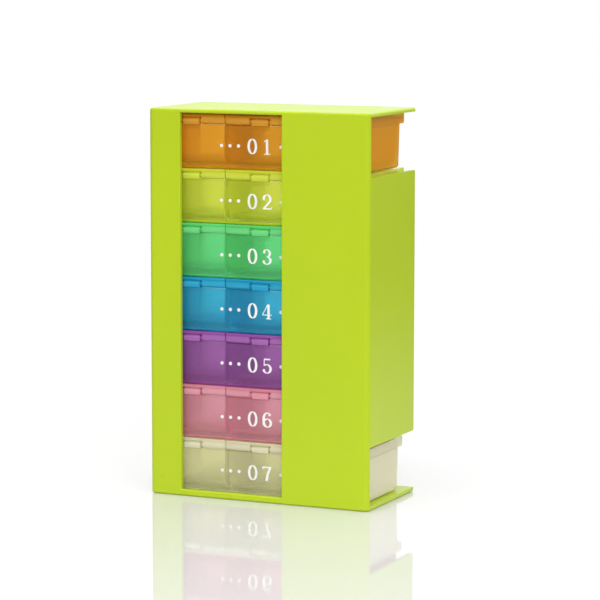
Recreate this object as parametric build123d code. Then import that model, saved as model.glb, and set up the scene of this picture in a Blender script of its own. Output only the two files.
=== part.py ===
"""Weekly pill organizer: a tower holder with seven trays stacked in it.

The holder is one opaque moulding with a window in its front and an open back. Each tray is a
translucent box with three pill compartments, and each compartment has its own flip lid.
+X is to the right, +Y to the back, +Z up. The origin is at the bottom centre. Millimetres.
"""
import math
import os

from build123d import *

# Counts
tray_count = 7
cell_count = 3

# Tray body
cell_width = 34.0        # width of one compartment, with its share of the walls
body_depth = 40.6        # front face to back face, at the rim
body_height = 19.7       # underside to the rim that the lids stand on
tray_wall = 1.4          # front, back and end walls
divider = 1.8            # wall between two compartments
tray_floor = 1.5         # floor, measured from the underside
scoop_radius = 6.0       # rounded floor at the front and back of a compartment
body_corner = 2.0        # rounding of the upright corners
corner_flats = 4         # flats that make this rounding
body_edge = 0.8          # bevel of the bottom edge
draft = 1.5              # slope of the outer walls and the pockets, in degrees
foot_width = 1.6         # width of the ring that the tray stands on
foot_height = 0.5        # height of that ring

# Flip lid
lid_height = 4.4         # rim to the top face
lid_top = 1.2            # thickness of the top
lid_wall = 1.2           # thickness of the skirt
lid_gap = 0.6            # between two lids side by side
lip_reach = 6.0          # how far the finger lip stands out behind the body
lip_cut_back = 2.4       # slanted lower corner of the lip, along the depth
lip_cut_up = 2.2         # the same corner, along the height
lid_corner = 2.0         # rounding of the two corners at the lip
lid_edge = 0.5           # bevel of the top edge at the front

# Hinge along the front of each lid
knuckle_radius = 1.6
ear_width = 8.0          # the tray's ear, between the lid's two lugs
knuckle_gap = 1.2        # between the ear and a lug, along the axis
pin_radius = 0.8
pin_engagement = 2.4     # how far a pin reaches into the ear
pin_clearance = 0.1
hinge_clearance = 0.15   # round a knuckle, to the lid's underside
hinge_setback = 0.2      # the knuckles stand behind the tray's front face
ear_gusset = 4.0         # height of the slope that carries the ear on the front wall
knuckle_sides = 12       # flats round a lug or an ear
pin_sides = 8            # flats round a pin or a bore

# Snap catch at the back of each lid
catch_width = 10.0
catch_thickness = 1.0
catch_clearance = 0.15
catch_foot = 0.3         # from the rim up to the end of the catch
bead_reach = 0.5         # how far the bead stands out of the raised back wall
bead_height = 1.7        # from the rim up to the middle of the bead
nose_reach = 0.4         # how far the nose stands out of the catch
nose_height = 0.75       # from the rim up to the middle of the nose
rim_clearance = 0.15     # between the raised back wall and the lid

# Holder
wall = 2.0               # front plate and side panels
top_plate = 1.8
bottom_plate = 2.2
strip_width = 15.8       # front plate, left of the window
window_width = 50.0
sill_height = 0.8        # lower edge of the window, above the bottom plate
notch_margin = 1.9       # how much higher a side notch is than one tray
corner_radius = 2.5      # upright corners at the front
edge_radius = 1.0        # top edges at the front and the sides
base_bevel = 0.8         # the same edges at the bottom
panel_corner = 1.0       # upper and lower back corners of a side panel
window_radius = 0.6      # outer edge round the window

# Tolerance for telling edges apart
near = 0.001

# Clearances between the trays and the holder
front_gap = 0.6
side_gap = 1.0
floor_gap = 0.3
stack_gap = 0.4
top_gap = 0.6
back_setback = 3.8       # from the finger lips to the back edge of the plates

# Derived sizes
tray_length = cell_count * cell_width
tray_height = body_height + lid_height
tray_pitch = tray_height + stack_gap
lid_width = cell_width - lid_gap
lid_depth = body_depth + lip_reach
holder_width = tray_length + 2 * (side_gap + wall)
holder_depth = wall + front_gap + lid_depth + back_setback
stack_height = tray_count * tray_height + (tray_count - 1) * stack_gap
cavity_height = floor_gap + stack_height + top_gap
holder_height = bottom_plate + cavity_height + top_plate
notch_height = tray_pitch + notch_margin

holder_front = -holder_depth / 2
tray_front = holder_front + wall + front_gap
tray_back = tray_front + body_depth
lid_back = tray_front + lid_depth
hinge_y = tray_front + hinge_setback + knuckle_radius
hinge_z = tray_height - lid_top - hinge_clearance - knuckle_radius
draft_inset = body_height * math.tan(math.radians(draft))

tray_names = ["orange", "lime", "green", "blue", "purple", "pink", "clear"]
cell_names = ["left", "middle", "right"]


def block(x, y, z):
    """A box from its low and high limits along each axis."""
    low = (x[0], y[0], z[0])
    size = (x[1] - x[0], y[1] - y[0], z[1] - z[0])
    return Pos(*low) * Box(*size, align=(Align.MIN, Align.MIN, Align.MIN))


def prism(x, outline):
    """A profile in the Y-Z plane, carried along X."""
    face = Plane.YZ.offset(x[0]) * make_face(Polyline(*outline, close=True))
    return extrude(face, amount=x[1] - x[0], dir=(1, 0, 0))


def bar(x, radius, sides):
    """A many-sided bar along the hinge axis: a knuckle, a pin or a bore."""
    face = Plane.YZ.offset(x[0]) * Pos(hinge_y, hinge_z) * RegularPolygon(radius, sides)
    return extrude(face, amount=x[1] - x[0], dir=(1, 0, 0))


def ridge(x, y, z, reach):
    """A ridge along X on an upright wall, to the back or, with a reach below zero, to the front."""
    half = abs(reach)
    return prism(x, [(y, z - half), (y + reach, z), (y, z + half)])


def upright_edges(shape, y_low):
    """The upright edges of a shape that lie behind a given depth."""
    edges = shape.edges().filter_by(Axis.Z)
    return [edge for edge in edges if edge.center().Y > y_low]


def cell_centre(cell):
    """Middle of a compartment along X, counted from the left."""
    return (cell - (cell_count - 1) / 2) * cell_width


def tray_base(tray):
    """Height of a tray's underside, counted from the top of the stack."""
    return bottom_plate + floor_gap + (tray_count - 1 - tray) * tray_pitch


def holder():
    """The one-piece holder: a box with an open back, a front window and four side notches."""
    half = holder_width / 2
    back = holder_front + holder_depth
    inner = half - wall
    ceiling = holder_height - top_plate
    behind = back + wall

    shape = block((-half, half), (holder_front, back), (0, holder_height))
    front_corners = [edge for edge in shape.edges().filter_by(Axis.Z) if edge.center().Y < 0]
    shape = fillet(front_corners, corner_radius)
    for level, finish, size in ((0, chamfer, base_bevel), (-1, fillet, edge_radius)):
        outline = shape.edges().group_by(Axis.Z)[level]
        shape = finish([edge for edge in outline if edge.center().Y < back - near], size)
    shape -= block((-inner, inner), (holder_front + wall, behind), (bottom_plate, ceiling))

    window = (-half + strip_width, -half + strip_width + window_width)
    shape -= block(window, (holder_front - wall, holder_front + 2 * wall), (bottom_plate + sill_height, ceiling))
    window_edges = [
        edge
        for edge in shape.edges()
        if abs(edge.center().Y - holder_front) < near
        and window[0] - near < edge.center().X < window[1] + near
        and bottom_plate < edge.center().Z < ceiling + near
    ]
    shape = fillet(window_edges, window_radius)
    for side in (-1, 1):
        x = sorted((side * (inner - wall), side * (half + wall)))
        y = (holder_front + wall, behind)
        shape -= block(x, y, (ceiling - notch_height, ceiling))
        shape -= block(x, y, (bottom_plate, bottom_plate + notch_height))

    panel_corners = [
        edge
        for edge in shape.edges().filter_by(Axis.X)
        if abs(edge.center().Y - back) < near and edge.length < 1.5 * wall
    ]
    return fillet(panel_corners, panel_corner)


def body_outline():
    """The rim of a tray, a rectangle whose corners are rounded by a few flats."""
    points = []
    for quarter, (right, back) in enumerate(((1, 1), (-1, 1), (-1, -1), (1, -1))):
        for flat in range(corner_flats + 1):
            angle = math.radians(90 * (quarter + flat / corner_flats))
            x = right * (tray_length / 2 - body_corner) + body_corner * math.cos(angle)
            y = back * (body_depth / 2 - body_corner) + body_corner * math.sin(angle)
            points.append((x, y))
    return make_face(Polyline(*points, close=True))


def pocket(cell):
    """The hollow of one compartment, with a scooped floor."""
    middle = cell_centre(cell)
    left = middle - cell_width / 2 + (tray_wall if cell == 0 else divider / 2)
    right = middle + cell_width / 2 - (tray_wall if cell == cell_count - 1 else divider / 2)
    rim = Rectangle(right - left, body_depth - 2 * tray_wall)
    rim = Pos((left + right) / 2, (tray_front + tray_back) / 2, body_height) * rim
    hollow = extrude(rim, amount=body_height - tray_floor, dir=(0, 0, -1), taper=draft)
    low = hollow.edges().filter_by(Axis.X).group_by(Axis.Z)[0]
    return fillet(low, scoop_radius)


def ear(cell):
    """The tray's hinge ear: a rounded lug on a sloping gusset, with the bore for the pins."""
    middle = cell_centre(cell)
    x = (middle - ear_width / 2, middle + ear_width / 2)
    inside = tray_front + tray_wall
    outline = [
        (hinge_y - knuckle_radius, hinge_z),
        (hinge_y - knuckle_radius, body_height),
        (tray_front + tray_wall / 2, body_height),
        (tray_front + tray_wall / 2, hinge_z - ear_gusset),
        (inside, hinge_z - ear_gusset),
        (hinge_y + knuckle_radius, hinge_z),
    ]
    lug = prism(x, outline) + bar(x, knuckle_radius, knuckle_sides)
    return lug - bar(x, pin_radius + pin_clearance, pin_sides)


def raised_back(cell):
    """The back wall's raised part, which closes the compartment up to the lid, with its bead."""
    middle = cell_centre(cell)
    half = lid_width / 2 - lid_wall - rim_clearance
    top = tray_height - lid_top - rim_clearance
    x = (middle - half, middle + half)
    upstand = block(x, (tray_back - tray_wall, tray_back), (body_height, top))
    bead_span = (middle - catch_width / 2, middle + catch_width / 2)
    return upstand + ridge(bead_span, tray_back, body_height + bead_height, bead_reach)


def tray_body():
    """A tray without its lids, standing at height zero."""
    half = tray_length / 2
    rim = Pos(0, (tray_front + tray_back) / 2, body_height) * body_outline()
    shape = extrude(rim, amount=body_height, dir=(0, 0, -1), taper=draft)
    shape = chamfer(shape.edges().group_by(Axis.Z)[0], body_edge)
    inset = draft_inset + body_edge + foot_width
    shape -= block(
        (-half + inset, half - inset),
        (tray_front + inset, tray_back - inset),
        (0, foot_height),
    )
    for cell in range(cell_count):
        shape -= pocket(cell)
    shape -= block(
        (-half, half),
        (tray_front, hinge_y + knuckle_radius),
        (hinge_z - knuckle_radius - hinge_clearance, body_height),
    )
    for cell in range(cell_count):
        shape += ear(cell)
        shape += raised_back(cell)
    return shape


def hinge_lug(side):
    """One of a lid's two lugs, with its pin. Side is -1 for the left lug and 1 for the right."""
    inner = side * (ear_width / 2 + knuckle_gap)
    outer = side * lid_width / 2
    x = sorted((inner, outer))
    under = tray_height - lid_top
    lug = block(x, (hinge_y - knuckle_radius, hinge_y + knuckle_radius), (hinge_z, under))
    lug += bar(x, knuckle_radius, knuckle_sides)
    tip = side * (ear_width / 2 - pin_engagement)
    return lug + bar(sorted((tip, inner)), pin_radius, pin_sides)


def snap_catch():
    """The tongue behind the tray's back wall, with the nose that holds under the bead."""
    x = (-catch_width / 2, catch_width / 2)
    face = tray_back + bead_reach + catch_clearance
    tongue = block(x, (face, face + catch_thickness), (body_height + catch_foot, tray_height - lid_top))
    return tongue + ridge(x, face, body_height + nose_height, -nose_reach)


def lid():
    """A flip lid at the middle of a tray that stands at height zero."""
    half = lid_width / 2
    under = tray_height - lid_top
    outline = [
        (hinge_y, body_height),
        (lid_back - lip_cut_back, body_height),
        (lid_back, body_height + lip_cut_up),
        (lid_back, tray_height),
        (tray_front, tray_height),
        (tray_front, under),
        (hinge_y, under),
    ]
    shape = prism((-half, half), outline)
    shape = fillet(upright_edges(shape, lid_back - near), lid_corner)
    front_edge = shape.edges().group_by(Axis.Z)[-1].sort_by(Axis.Y)[0]
    shape = chamfer(front_edge, lid_edge)
    shape -= block(
        (-half + lid_wall, half - lid_wall),
        (tray_front, lid_back - lid_wall),
        (0, under),
    )
    return shape + hinge_lug(-1) + hinge_lug(1) + snap_catch()


def write(shape, name):
    """Write one piece and print its volume."""
    export_step(shape, "parts/" + name + ".step")
    print(name, round(shape.volume, 1))


def main():
    os.makedirs("parts", exist_ok=True)
    print("size", round(holder_width, 2), round(holder_depth, 2), round(holder_height, 2))
    write(holder(), "holder")
    body = tray_body()
    cover = lid()
    for tray, colour in enumerate(tray_names):
        base = tray_base(tray)
        write(Pos(0, 0, base) * body, "tray_" + colour)
        for cell, place in enumerate(cell_names):
            write(Pos(cell_centre(cell), 0, base) * cover, "lid_" + colour + "_" + place)


main()
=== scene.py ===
"""Scene for a weekly pill organizer: plastics, printed numerals, floor, light and camera.

The holder and the trays with their lids are the frame's own nodes, which get their finishes here. Each tray
also gets the numeral of its day, printed in white on its front wall. Metres, +Z up, the window faces -Y.
"""
import math

import bmesh
import bpy
from mathutils import Matrix, Vector


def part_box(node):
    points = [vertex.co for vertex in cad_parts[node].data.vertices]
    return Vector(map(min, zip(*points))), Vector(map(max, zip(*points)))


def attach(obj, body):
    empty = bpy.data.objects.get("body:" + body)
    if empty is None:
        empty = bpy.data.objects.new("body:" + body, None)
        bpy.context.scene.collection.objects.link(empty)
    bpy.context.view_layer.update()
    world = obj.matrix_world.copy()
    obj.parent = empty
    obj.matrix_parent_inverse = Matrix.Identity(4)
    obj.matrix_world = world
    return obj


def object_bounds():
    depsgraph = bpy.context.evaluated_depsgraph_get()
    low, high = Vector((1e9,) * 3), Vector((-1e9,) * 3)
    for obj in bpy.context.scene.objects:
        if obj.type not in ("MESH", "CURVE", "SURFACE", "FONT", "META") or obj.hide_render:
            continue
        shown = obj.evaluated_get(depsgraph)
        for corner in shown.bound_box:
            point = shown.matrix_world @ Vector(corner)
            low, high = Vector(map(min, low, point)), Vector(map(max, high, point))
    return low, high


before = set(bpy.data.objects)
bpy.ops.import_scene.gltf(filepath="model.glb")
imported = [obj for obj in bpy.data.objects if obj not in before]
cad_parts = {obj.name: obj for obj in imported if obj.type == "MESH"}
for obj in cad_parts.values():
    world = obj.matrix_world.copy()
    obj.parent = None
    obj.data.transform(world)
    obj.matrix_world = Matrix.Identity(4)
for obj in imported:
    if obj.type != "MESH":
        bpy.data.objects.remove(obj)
cad_low, cad_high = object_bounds()
MIDDLE_HEIGHT = (cad_low[2] + cad_high[2]) / 2

# Camera, from the holder's corners in the photograph. Azimuth 0 is the front and 90 the right side
IMAGE_SIZE = 600
VIEW_AZIMUTH = 24.66
VIEW_ELEVATION = 7.25
VIEW_DISTANCE = 1.279
TARGET_DEPTH = 0.026              # from the holder's front to the point that the camera looks at
FOCAL_PIXELS = 2819
CENTRE_PIXELS = (-18.5, 1.7)      # optical axis from the middle of the image, to the right and down
SENSOR_WIDTH = 36

# Places in a tray, from its underside, its front and its middle
WALL_TOP = 0.0194                 # where the sloping front wall ends and the hinge knuckles begin
KNUCKLE_TOP = 0.0229
EDGE_HEIGHT = 0.0010              # of the thick edge at the foot
FRONT_DEPTH = 0.0036              # from the front wall's face to the back of the knuckles
FRONT_WALL = 0.0024               # thickness of the front wall with its slope
END_WALL = 0.0022                 # and of an end wall
DIVIDER_FACES = (0.0156, 0.0184)  # the two faces of a wall between compartments
TRAY_DRAFT = 1.5                  # slope of the front wall, in degrees
CELLS = ("left", "middle", "right")

# Print on the trays
DIGIT_HEIGHT = 0.0069
DIGIT_PITCH = 0.0072
DIGIT_MIDDLE = 0.0104             # above the underside of the tray
NIB = 0.17                        # widest stroke, in digit heights
HAIRLINE = 0.055                  # thinnest stroke
BALL = 0.085                      # radius of a ball at the end of a stroke
ARC_STEP = 12                     # degrees between the points of a curved stroke
DOT_RADIUS = 0.0008
DOT_SIDES = 24
DOT_PLACES = (0.0104, 0.0146, 0.0188)   # from the middle of the tray, a dot for each compartment
INK_THICKNESS = 0.00005
INK_BITE = 0.00002                # how far the ink reaches into the wall
INK_LAYER = 0.000002              # from one stroke of a digit to the next
INK_WHITES = ((0.82, 0.82, 0.80, 1), (0.90, 0.90, 0.89, 1))

# Holder plastic
HOLDER_LIME = (0.475, 0.62, 0.019)
CLOUD = 0.06                      # how much a plastic's colour drifts, here and in the trays

# Tray plastics from the top of the stack: the colour that scatters back, and the tint of what shines through
TRAY_COLOURS = {
    "orange": ((0.98, 0.49, 0.035), (0.95, 0.69, 0.2)),
    "lime": ((0.86, 0.93, 0.075), (0.93, 0.965, 0.39)),
    "green": ((0.23, 0.89, 0.31), (0.48, 0.97, 0.63)),
    "blue": ((0.028, 0.5, 0.79), (0.33, 0.86, 0.97)),
    "purple": ((0.54, 0.17, 0.6), (0.705, 0.46, 0.735)),
    "pink": ((0.95, 0.43, 0.53), (0.97, 0.715, 0.765)),
    "clear": ((0.93, 0.90, 0.70), (0.95, 0.94, 0.60)),
}
TINT_DEPTH = 0.045                # depth of plastic that gives the tint once more
TRAY_IOR = 1.4
KNUCKLE_SCATTER_AND_HIGHLIGHT = 0.85              # depth of the scattered colour in the knuckles, where a thin wall has 1. Below 1 they are paler: partly for their thick milky plastic, partly as a painted highlight where their rounded tops catch the light
EDGE_DEPTH_AND_SHADE = 1.2                  # and in the thick edges: deeper for their depth, and over the knuckles also a painted shade where the holder's top plate shades them
GLOW = 0.25                       # share of the scattered light that comes from behind the wall
CLARITY = 0.77                    # share of the light that goes through a thin wall unscattered
KNUCKLE_CLARITY = 0.30            # the same in the hinge knuckles,
EDGE_CLARITY = 0.40               # in the thick edges at the foot and over the knuckles,
END_CLARITY = 0.30                # in the end walls
DIVIDER_CLARITY = 0.30            # and in the walls between the compartments
STRAIGHT = 0.5                    # part of the unscattered light that isn't bent
REFLECTANCE = 0.03                # how much the face over that part mirrors, seen head-on
GRAZING_POWER = 5                 # how late this grows towards a grazing view

# Light of the room on the object, from the front and from behind
ROOM_FRONT = 0.25
ROOM_BACK = 1.2

# Lamps: azimuth, elevation and power
LAMPS = {
    "key_light": (40, 30, 12.5),
    "front_light": (-25, 28, 5.0),
    "top_light": (0, 76, 12),
}
LAMP_DISTANCE = 1.6
LAMP_SIZE = 1.0

FLOOR_RADIUS = 6.0
FLOOR_SIDES = 96
FLOOR_FADE = 0.7                  # from here on the floor is as white as the room
FLOOR_GREY = 0.70                 # near the object
FLOOR_DIM = 0.05                  # further out, where it is neither seen nor seen through a tray
FLOOR_GLOW = 0.25                 # white that the floor adds where it is seen
FLOOR_GLOW_BEHIND = 0.8           # and where it is seen through the trays
FLOOR_WHITE_BEHIND = 1.35         # brightness of its far part there, like an overexposed backdrop
FLOOR_MIRROR = 0.95               # share that the floor mirrors at a grazing view
FLOOR_MIRROR_POWER = 4            # how fast this falls off at a view from higher up


class Value:
    """An output socket of a material. Arithmetic on it adds Math nodes."""

    def __init__(self, finish, socket):
        self.finish = finish
        self.socket = socket

    def combine(self, operation, first, second):
        return self.finish.node("ShaderNodeMath", {"operation": operation}, {0: first, 1: second})

    def __add__(self, other):
        return self.combine("ADD", self, other)

    def __sub__(self, other):
        return self.combine("SUBTRACT", self, other)

    def __mul__(self, other):
        return self.combine("MULTIPLY", self, other)

    def __pow__(self, other):
        return self.combine("POWER", self, other)

    def __gt__(self, other):
        return self.combine("GREATER_THAN", self, other)

    def __lt__(self, other):
        return self.combine("LESS_THAN", self, other)

    def __radd__(self, other):
        return self.combine("ADD", other, self)

    def __rsub__(self, other):
        return self.combine("SUBTRACT", other, self)

    def __rmul__(self, other):
        return self.combine("MULTIPLY", other, self)

    def __abs__(self):
        return self.combine("ABSOLUTE", self, 0)

    def larger(self, other):
        return self.combine("MAXIMUM", self, other)

    def smaller(self, other):
        return self.combine("MINIMUM", self, other)


class Nodes:
    """The nodes of a material or of the world."""

    def __init__(self, owner):
        owner.use_nodes = True
        self.owner = owner
        self.tree = owner.node_tree
        self.tree.nodes.clear()

    def node(self, kind, settings=None, sockets=None, output=0):
        """Add a node: first its settings, then the values or links of its sockets."""
        node = self.tree.nodes.new(kind)
        for name, setting in (settings or {}).items():
            setattr(node, name, setting)
        for name, value in (sockets or {}).items():
            if isinstance(value, Value):
                self.tree.links.new(value.socket, node.inputs[name])
            else:
                node.inputs[name].default_value = value
        return Value(self, node.outputs[output]) if len(node.outputs) else None

    def place(self):
        """Object coordinates, in metres."""
        return self.node("ShaderNodeTexCoord", output="Object")

    def axis(self, letter):
        """One of the object coordinates."""
        return self.node("ShaderNodeSeparateXYZ", None, {0: self.place()}, output=letter)

    def noise(self, scale, detail):
        """A soft random value from 0 to 1, with the number of its waves in a metre."""
        return self.node(
            "ShaderNodeTexNoise", None, {"Vector": self.place(), "Scale": scale, "Detail": detail}
        )

    def bump(self, height, strength, distance):
        """A normal from a height."""
        return self.node(
            "ShaderNodeBump", None, {"Height": height, "Strength": strength, "Distance": distance}
        )

    def blend(self, factor, low, high):
        """A colour between two colours."""
        return self.node("ShaderNodeMix", {"data_type": "RGBA"}, {0: factor, 6: low, 7: high}, output=2)

    def clouded(self, colour, scale):
        """A colour that drifts between a little darker and a little lighter."""
        return self.blend(self.noise(scale, 3), shade(colour, 1 - CLOUD), shade(colour, 1 + CLOUD))

    def grazing(self):
        """0 where the surface is seen head-on, 1 where it is seen edge-on."""
        return self.node("ShaderNodeLayerWeight", output="Facing")

    def ray(self, kind):
        """What the light path says of a ray, such as 1 for one from the camera."""
        return self.node("ShaderNodeLightPath", output=kind)

    def mix(self, factor, first, second):
        """Two shaders, from the first at 0 to the second at 1."""
        return self.node("ShaderNodeMixShader", None, {0: factor, 1: first, 2: second})

    def surface(self, **sockets):
        """End the material with its shaders."""
        self.node("ShaderNodeOutputMaterial", None, sockets)
        return self.owner


def shade(colour, factor):
    """A colour made lighter or darker."""
    return tuple(min(1.0, channel * factor) for channel in colour) + (1.0,)


def stain(colour, depth):
    """A colour in plastic of another depth: above 1 it gets deeper, below 1 paler."""
    return tuple(channel ** depth for channel in colour) + (1.0,)


def grey(level):
    return (level, level, level, 1)


def finish_named(name):
    return Nodes(bpy.data.materials.new(name))


def lime_moulding():
    """The holder's opaque plastic: satin gloss with a fine mould grain and a faint ripple."""
    finish = finish_named("lime_moulding")
    relief = finish.noise(2600, 2) + 2 * finish.noise(90, 2)
    shader = finish.node("ShaderNodeBsdfPrincipled", None, {
        "Base Color": finish.clouded(HOLDER_LIME, 14),
        "Roughness": 0.24 + 0.14 * finish.noise(60, 4),
        "IOR": 1.34,
        "Normal": finish.bump(relief, 0.05, 0.0002),
    })
    return finish.surface(Surface=shader)


def tray_zones(finish, low, high):
    """1 in the knuckles, the thick edges, the end walls and the dividers of a tray."""
    height = finish.axis("Z") - low.z
    depth = finish.axis("Y") - low.y
    aside = abs(finish.axis("X") - (low.x + high.x) / 2)
    front = depth < FRONT_DEPTH
    knuckle = (height > WALL_TOP) * (height < KNUCKLE_TOP) * front
    edge = ((height < EDGE_HEIGHT) + (height > KNUCKLE_TOP)) * front
    end = aside > (high.x - low.x) / 2 - END_WALL
    inside = (height < WALL_TOP) * (depth > FRONT_WALL)
    divider = (aside > DIVIDER_FACES[0]) * (aside < DIVIDER_FACES[1]) * inside
    return knuckle, edge, end, divider


def milky(finish, colour, milk, gloss, grain):
    """The scattering share of a tray's plastic: light from its face, and some from behind it."""
    skin = finish.node("ShaderNodeBsdfPrincipled", None, {
        "Base Color": colour,
        "Roughness": gloss,
        "IOR": TRAY_IOR,
        "Normal": grain,
    })
    glow = finish.node("ShaderNodeBsdfTranslucent", None, {"Color": milk + (1,)})
    return finish.mix(GLOW, skin, glow)


def clear(finish, tint, gloss, grain):
    """The clear share: tinted light, bent by the wall or straight through it under a mirroring face."""
    bent = finish.node("ShaderNodeBsdfPrincipled", None, {
        "Base Color": tint + (1,),
        "Roughness": gloss,
        "IOR": TRAY_IOR,
        "Transmission Weight": 1.0,
        "Normal": grain,
    })
    straight = finish.mix(
        REFLECTANCE + (1 - REFLECTANCE) * finish.grazing() ** GRAZING_POWER,
        finish.node("ShaderNodeBsdfTransparent", None, {"Color": stain(tint, 0.5)}),
        finish.node("ShaderNodeBsdfGlossy", None, {"Color": grey(1), "Roughness": gloss}),
    )
    return finish.mix(STRAIGHT, bent, straight)


def dye(finish, tint):
    """The tint that grows with the depth of the plastic."""
    density = max(-math.log(channel) for channel in tint) / TINT_DEPTH
    colour = tuple(1 + math.log(channel) / TINT_DEPTH / density for channel in tint)
    return finish.node("ShaderNodeVolumeAbsorption", None, {"Color": colour + (1,), "Density": density})


def tray_plastic(name, milk, tint):
    """A tray's tinted plastic: some light scatters in it, the rest goes through and takes on the tint."""
    finish = finish_named(name + "_plastic")
    low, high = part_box("tray_" + name)
    knuckle, edge, end, divider = tray_zones(finish, low, high)
    # Painted highlight: the knuckles get a paler colour, partly for their thick plastic and partly standing
    # in for the light on their rounded tops
    colour = finish.blend(knuckle, finish.clouded(milk, 30), stain(milk, KNUCKLE_SCATTER_AND_HIGHLIGHT))
    # Painted shade: the thick edges get a deeper colour, partly for their depth and, over the knuckles,
    # partly standing in for the shade under the holder's top plate
    colour = finish.blend(edge, colour, stain(milk, EDGE_DEPTH_AND_SHADE))
    clarity = (
        CLARITY
        - (CLARITY - KNUCKLE_CLARITY) * knuckle
        - (CLARITY - EDGE_CLARITY) * edge
        - (CLARITY - END_CLARITY) * end
        - (CLARITY - DIVIDER_CLARITY) * divider
    )
    gloss = 0.16 + 0.10 * finish.noise(90, 4)
    grain = finish.bump(finish.noise(1500, 2), 0.04, 0.0002)
    scattering = milky(finish, colour, milk, gloss, grain)
    plastic = finish.mix(clarity, scattering, clear(finish, tint, gloss, grain))
    return finish.surface(Surface=plastic, Volume=dye(finish, tint))


def print_ink():
    """White ink on the front walls."""
    finish = finish_named("white_ink")
    shader = finish.node("ShaderNodeBsdfPrincipled", None, {
        "Base Color": finish.blend(finish.noise(900, 2), *INK_WHITES),
        "Roughness": 0.40 + 0.15 * finish.noise(1200, 2),
    })
    return finish.surface(Surface=shader)


def cover(node, material):
    """Give a node of the frame its finish."""
    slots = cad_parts[node].material_slots
    for slot in slots:
        slot.material = material


def dress_frame():
    """The finishes of the holder, the trays and the lids."""
    cover("holder", lime_moulding())
    for name, (milk, tint) in TRAY_COLOURS.items():
        plastic = tray_plastic(name, milk, tint)
        cover("tray_" + name, plastic)
        for cell in CELLS:
            cover("lid_" + name + "_" + cell, plastic)


def new_piece(name, form, material):
    """A new piece from a bmesh."""
    mesh = bpy.data.meshes.new(name)
    form.to_mesh(mesh)
    form.free()
    mesh.materials.append(material)
    piece = bpy.data.objects.new(name, mesh)
    bpy.context.scene.collection.objects.link(piece)
    return piece


def arc(x, y, across, up, first, last):
    """Points on an ellipse, from one angle to another in degrees."""
    steps = max(2, round(abs(last - first) / ARC_STEP))
    angles = [math.radians(first + (last - first) * step / steps) for step in range(steps + 1)]
    return [(x + across * math.cos(angle), y + up * math.sin(angle)) for angle in angles]


def stroke(form, points, width, shift, level):
    """A line drawn with an oval nib: wide where it runs upright, thin where it runs level."""
    ring = math.dist(points[0], points[-1]) < HAIRLINE / 10
    before_first = points[-2] if ring else points[0]
    after_last = points[1] if ring else points[-1]
    pen = None
    for before, (x, y), after in zip([before_first] + points, points, points[1:] + [after_last]):
        along = Vector((after[0] - before[0], after[1] - before[1]))
        reach = 2 * math.hypot(along.y * width, along.x * HAIRLINE)
        across = Vector((-along.y * width ** 2, along.x * HAIRLINE ** 2)) / reach
        if pen:
            drawn = bmesh.ops.extrude_edge_only(form, edges=[pen])["geom"]
            pen = next(part for part in drawn if isinstance(part, bmesh.types.BMEdge))
        else:
            pen = form.edges.new([form.verts.new(), form.verts.new()])
        for side, tip in zip((1, -1), pen.verts):
            place = Vector((x, y)) + side * across
            tip.co = (shift + place.x * DIGIT_HEIGHT, place.y * DIGIT_HEIGHT, level)


def dot(form, x, y, radius, level=0.0):
    """A round dot of ink."""
    place = Matrix.Translation((x, y, level))
    bmesh.ops.create_circle(form, cap_ends=True, segments=DOT_SIDES, radius=radius, matrix=place)


# Serif digits, one digit high and centred on x = 0: strokes with a broad nib, hairlines, and ball terminals
DIGITS = {
    0: ([arc(0, 0.5, 0.26, 0.475, 0, 360)], [], []),
    1: (
        [[(0.0, 0.025), (0.0, 0.975)]],
        [[(-0.22, 0.025), (0.22, 0.025)], [(-0.20, 0.82), (0.0, 0.975)]],
        [],
    ),
    2: (
        [arc(0, 0.70, 0.24, 0.275, 180, -40) + [(-0.24, 0.07)]],
        [[(-0.30, 0.05), (0.30, 0.05)], [(-0.30, 0.08), (0.30, 0.08)], [(0.30, 0.05), (0.32, 0.20)]],
        [(-0.23, 0.68)],
    ),
    3: (
        [arc(-0.02, 0.735, 0.22, 0.24, 150, -90), arc(-0.02, 0.265, 0.26, 0.24, 90, -150)],
        [],
        [(-0.20, 0.80), (-0.24, 0.20)],
    ),
    4: (
        [[(0.10, 0.025), (0.10, 0.975)]],
        [[(-0.34, 0.27), (0.32, 0.27)], [(0.06, 0.975), (-0.34, 0.27)], [(-0.08, 0.025), (0.28, 0.025)]],
        [],
    ),
    5: (
        [arc(-0.02, 0.31, 0.26, 0.285, 130, -150)],
        [[(-0.20, 0.95), (0.22, 0.95)], [(-0.20, 0.91), (0.22, 0.91)], [(-0.20, 0.95), (-0.22, 0.50)]],
        [(-0.24, 0.20)],
    ),
    6: (
        [arc(0, 0.5, 0.26, 0.475, 60, 250), arc(0, 0.30, 0.26, 0.275, 0, 360)],
        [],
        [(0.17, 0.85)],
    ),
    7: (
        [[(0.22, 0.92), (0.02, 0.45), (-0.06, 0.025)]],
        [[(-0.30, 0.95), (0.28, 0.95)], [(-0.30, 0.91), (0.28, 0.91)], [(-0.30, 0.95), (-0.32, 0.78)]],
        [],
    ),
}


def digit(form, number, shift):
    """Draw one digit, centred on a place along X and on y = 0, each stroke just above the one before."""
    strokes, hairlines, balls = DIGITS[number]
    lines = [(points, NIB) for points in strokes] + [(points, HAIRLINE) for points in hairlines]
    for count, (points, width) in enumerate(lines):
        stroke(form, [(x, y - 0.5) for x, y in points], width, shift, count * INK_LAYER)
    for x, y in balls:
        across = shift + x * DIGIT_HEIGHT
        up = (y - 0.5) * DIGIT_HEIGHT
        dot(form, across, up, BALL * DIGIT_HEIGHT, len(lines) * INK_LAYER)


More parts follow.
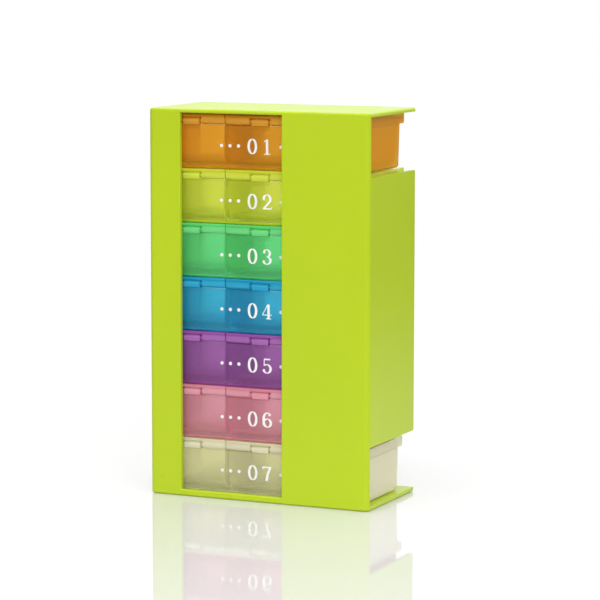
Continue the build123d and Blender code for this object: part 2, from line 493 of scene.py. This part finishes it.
def day_print(name, day, ink):
    """The day's number in white on a tray's sloping front wall, between two rows of dots."""
    low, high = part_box("tray_" + name)
    form = bmesh.new()
    digit(form, 0, -DIGIT_PITCH / 2)
    digit(form, day, DIGIT_PITCH / 2)
    for side in (-1, 1):
        for place in DOT_PLACES:
            dot(form, side * place, 0, DOT_RADIUS)
    bmesh.ops.remove_doubles(form, verts=form.verts, dist=INK_LAYER / 10)
    form.normal_update()
    bmesh.ops.reverse_faces(form, faces=[face for face in form.faces if face.normal.z < 0])
    bmesh.ops.solidify(form, geom=list(form.faces), thickness=INK_THICKNESS + INK_BITE)
    bmesh.ops.recalc_face_normals(form, faces=form.faces)
    slope = math.radians(TRAY_DRAFT)
    wall = low.y + (WALL_TOP - DIGIT_MIDDLE) * math.tan(slope) - INK_THICKNESS
    middle = Vector(((low.x + high.x) / 2, wall, low.z + DIGIT_MIDDLE))
    upright = Matrix.Translation(middle) @ Matrix.Rotation(math.radians(90) + slope, 4, "X")
    bmesh.ops.transform(form, matrix=upright, verts=form.verts)
    piece = new_piece("numeral_" + name, form, ink)
    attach(piece, "tray_" + name)


def print_trays():
    """The numerals of the seven trays, from the top of the stack."""
    ink = print_ink()
    for day, name in enumerate(TRAY_COLOURS, 1):
        day_print(name, day, ink)


def white_floor():
    """White near the object with a shadow and a pale mirror image, and as white as the room further out."""
    finish = finish_named("white_floor")
    seen = finish.ray("Is Camera Ray")
    through = finish.ray("Is Transmission Ray")
    pierced = finish.ray("Transparent Depth") > 0.5
    across = finish.axis("X")
    along = finish.axis("Y")
    away = (across * across + along * along) * (1 / FLOOR_FADE ** 2)
    matte = finish.node("ShaderNodeBsdfDiffuse", None, {"Color": grey(FLOOR_GREY)})
    dim = finish.node("ShaderNodeBsdfDiffuse", None, {"Color": grey(FLOOR_DIM)})
    gloss = finish.node("ShaderNodeBsdfGlossy", None, {"Color": grey(1), "Roughness": 0.04})
    white = finish.node("ShaderNodeEmission", None, {"Color": grey(1), "Strength": 1.0})
    bright = finish.node("ShaderNodeEmission", None, {"Color": grey(1), "Strength": FLOOR_WHITE_BEHIND})
    paper = finish.mix(seen * FLOOR_GLOW + through * FLOOR_GLOW_BEHIND, matte, white)
    near = finish.mix(FLOOR_MIRROR * finish.grazing() ** FLOOR_MIRROR_POWER, paper, gloss)
    backdrop = finish.mix(through.larger(seen * pierced), white, bright)
    far = finish.mix(seen.larger(through), dim, backdrop)
    return finish.surface(Surface=finish.mix(away.smaller(1.0), near, far))


def lay_floor():
    form = bmesh.new()
    bmesh.ops.create_circle(form, cap_ends=True, segments=FLOOR_SIDES, radius=FLOOR_RADIUS)
    new_piece("floor", form, white_floor())


def stand(name, data, target, azimuth, elevation, distance):
    """Put a lamp or the camera at a distance from its target, turned to it."""
    turn = math.radians(azimuth)
    rise = math.radians(elevation)
    back = Vector((math.sin(turn) * math.cos(rise), -math.cos(turn) * math.cos(rise), math.sin(rise)))
    piece = bpy.data.objects.new(name, data)
    piece.location = target + back * distance
    piece.rotation_euler = back.to_track_quat("Z", "Y").to_euler()
    bpy.context.scene.collection.objects.link(piece)
    return piece


def studio():
    """A pale room: white where it is seen or seen through, and as light brighter from behind."""
    world = bpy.data.worlds.new("studio")
    bpy.context.scene.world = world
    room = Nodes(world)
    direction = room.node("ShaderNodeSeparateXYZ", None, {0: room.node("ShaderNodeTexCoord")}, output="Y")
    light = ROOM_FRONT + (ROOM_BACK - ROOM_FRONT) * (0.5 + 0.5 * direction)
    white = room.ray("Is Camera Ray").larger(room.ray("Is Transmission Ray"))
    strength = light + white * (1 - light)
    sky = room.node("ShaderNodeBackground", None, {"Color": grey(1), "Strength": strength})
    room.node("ShaderNodeOutputWorld", None, {"Surface": sky})


def soft_lamps():
    """Square lamps that face the holder. They aren't mirrored, so none shows on the floor or on a lid."""
    for name, (azimuth, elevation, power) in LAMPS.items():
        lamp = bpy.data.lights.new(name, "AREA")
        lamp.shape = "SQUARE"
        lamp.size = LAMP_SIZE
        lamp.energy = power
        piece = stand(name, lamp, Vector((0, 0, MIDDLE_HEIGHT)), azimuth, elevation, LAMP_DISTANCE)
        piece.visible_glossy = False


def camera():
    """The photograph's view."""
    data = bpy.data.cameras.new("camera")
    data.sensor_width = SENSOR_WIDTH
    data.lens = FOCAL_PIXELS * SENSOR_WIDTH / IMAGE_SIZE
    data.shift_x = -CENTRE_PIXELS[0] / IMAGE_SIZE
    data.shift_y = CENTRE_PIXELS[1] / IMAGE_SIZE
    data.clip_start = 0.05
    data.clip_end = 60
    target = Vector((0, cad_low[1] + TARGET_DEPTH, MIDDLE_HEIGHT))
    bpy.context.scene.camera = stand("camera", data, target, VIEW_AZIMUTH, VIEW_ELEVATION, VIEW_DISTANCE)


dress_frame()
print_trays()
lay_floor()
studio()
soft_lamps()
camera()
bpy.context.scene.view_settings.view_transform = "Standard"
